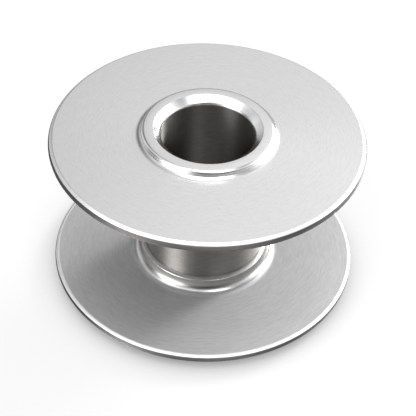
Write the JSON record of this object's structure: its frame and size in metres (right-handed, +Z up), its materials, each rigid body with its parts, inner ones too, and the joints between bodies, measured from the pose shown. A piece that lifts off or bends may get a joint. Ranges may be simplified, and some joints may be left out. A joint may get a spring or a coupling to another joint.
{
  "type": "sewing machine bobbin",
  "caption": "Turned metal sewing machine bobbin: flat round flanges on a hollow hub, with a raised boss round the through bore; holds the lower thread.",
  "frame": {"origin": "on the bore axis, in the flat face of the lower boss that the bobbin stands on", "axes": "+Z up along the bore, from the lower boss to the upper one; X and Y are any two directions across the flanges, which are round"},
  "size_m": [0.0203, 0.0202, 0.0115],
  "materials": {
    "turned_aluminium": "satin turned, with fine rings, bright bevels and edges, and a duller hub and bore"
  },
  "bodies": {
    "root": {"bobbin": "turned_aluminium"}
  },
  "joints": []
}
